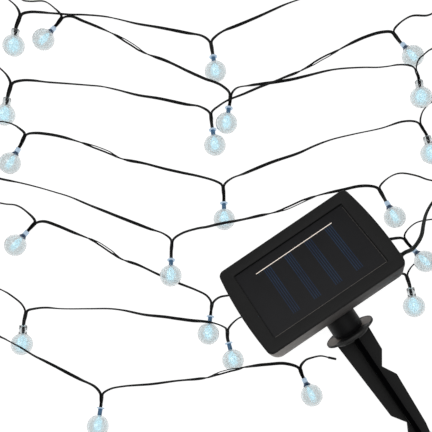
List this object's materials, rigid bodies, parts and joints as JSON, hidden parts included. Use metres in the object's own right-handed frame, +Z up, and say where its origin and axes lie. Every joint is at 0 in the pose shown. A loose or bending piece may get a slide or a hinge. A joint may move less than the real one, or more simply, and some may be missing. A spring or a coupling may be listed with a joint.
{
  "type": "solar string lights",
  "caption": "Garden solar string lights: a ground-stake solar panel unit, a coiled lead and a long dark cord of small clear globe lamps laid out in rows.",
  "frame": {"origin": "on the table, under the middle of the rigid solar unit (housing, neck and stake); the free cords, the lamps and the coil are not counted", "axes": "+Z up from the table; +X to the right and +Y away from the viewer who looks down at the laid-out string; the stake points down and to the right, at -55.80 degrees from +X"},
  "size_m": [0.5225, 0.4801, 0.0626],
  "materials": {
    "black_abs": "moulded black ABS, fine satin grain",
    "stake_plastic": "moulded black plastic, satin",
    "solar_film": "amorphous solar film under clear resin",
    "black_rubber": "black silicone rubber",
    "nickel_steel": "nickel-plated steel",
    "board": "green solder mask",
    "cell_wrap": "plain shrink-wrapped rechargeable cell",
    "clear_acrylic": "clear acrylic with fine bubbles, pale blue and dark blue socket",
    "cord_pvc": "near-black PVC, satin",
    "lead_pvc": "dark grey-green PVC, satin",
    "tie_paper": "pale grey paper-and-wire tie"
  },
  "bodies": {
    "housing": {"front_case": "black_abs", "solar_panel": "solar_film", "back_cover": "black_abs", "case_gasket": "black_rubber", "case_screw_1": "nickel_steel", "case_screw_2": "nickel_steel", "case_screw_3": "nickel_steel", "case_screw_4": "nickel_steel", "circuit_board": "board", "battery_spring_plate": "nickel_steel", "battery_spring": "nickel_steel", "battery_cell": "cell_wrap", "battery_contact": "nickel_steel", "battery_door": "black_abs", "battery_door_screw": "nickel_steel", "cable_gland": "black_rubber", "lead_from_panel": "lead_pvc", "lead_coil": "lead_pvc", "coil_tie": "tie_paper", "lead_to_string": "lead_pvc", "string_cord_a": "cord_pvc", "string_cord_b": "cord_pvc", "string_cord_c": "cord_pvc", "string_cord_d": "cord_pvc", "string_cord_e": "cord_pvc", "string_cord_f": "cord_pvc", "string_cord_g": "cord_pvc", "string_cord_h": "cord_pvc", "lamp_01": "clear_acrylic", "lamp_02": "clear_acrylic", "lamp_03": "clear_acrylic", "lamp_04": "clear_acrylic", "lamp_05": "clear_acrylic", "lamp_06": "clear_acrylic", "lamp_07": "clear_acrylic", "lamp_08": "clear_acrylic", "lamp_09": "clear_acrylic", "lamp_10": "clear_acrylic", "lamp_11": "clear_acrylic", "lamp_12": "clear_acrylic", "lamp_13": "clear_acrylic", "lamp_14": "clear_acrylic", "lamp_15": "clear_acrylic", "lamp_16": "clear_acrylic", "lamp_17": "clear_acrylic", "lamp_18": "clear_acrylic", "lamp_19": "clear_acrylic", "lamp_20": "clear_acrylic", "lamp_21": "clear_acrylic", "lamp_22": "clear_acrylic", "lamp_23": "clear_acrylic", "string_end_cap": "black_rubber"},
    "power_button_body": {"power_button": "black_rubber"},
    "mode_button_body": {"mode_button": "black_rubber"},
    "neck": {"neck_tube": "stake_plastic", "neck_o_ring": "black_rubber"},
    "stake": {"ground_stake": "stake_plastic"}
  },
  "joints": [
    {"name": "neck_swivel", "type": "hinge", "parent": "housing", "child": "neck", "pos_m": [0.00408, 0.01562, 0.0235], "axis": [0.5621, -0.8271, 0], "range_deg": [-90, 90]},
    {"name": "stake_pull", "type": "slide", "parent": "neck", "child": "stake", "axis": [0.5621, -0.8271, 0], "range_m": [0, 0.022]},
    {"name": "power_button_press", "type": "slide", "parent": "housing", "child": "power_button_body", "axis": [-0.281, 0.4135, 0.866], "range_m": [0, 0.0012], "stiffness_N_per_m": 600},
    {"name": "mode_button_press", "type": "slide", "parent": "housing", "child": "mode_button_body", "axis": [-0.281, 0.4135, 0.866], "range_m": [0, 0.0012], "stiffness_N_per_m": 600}
  ]
}
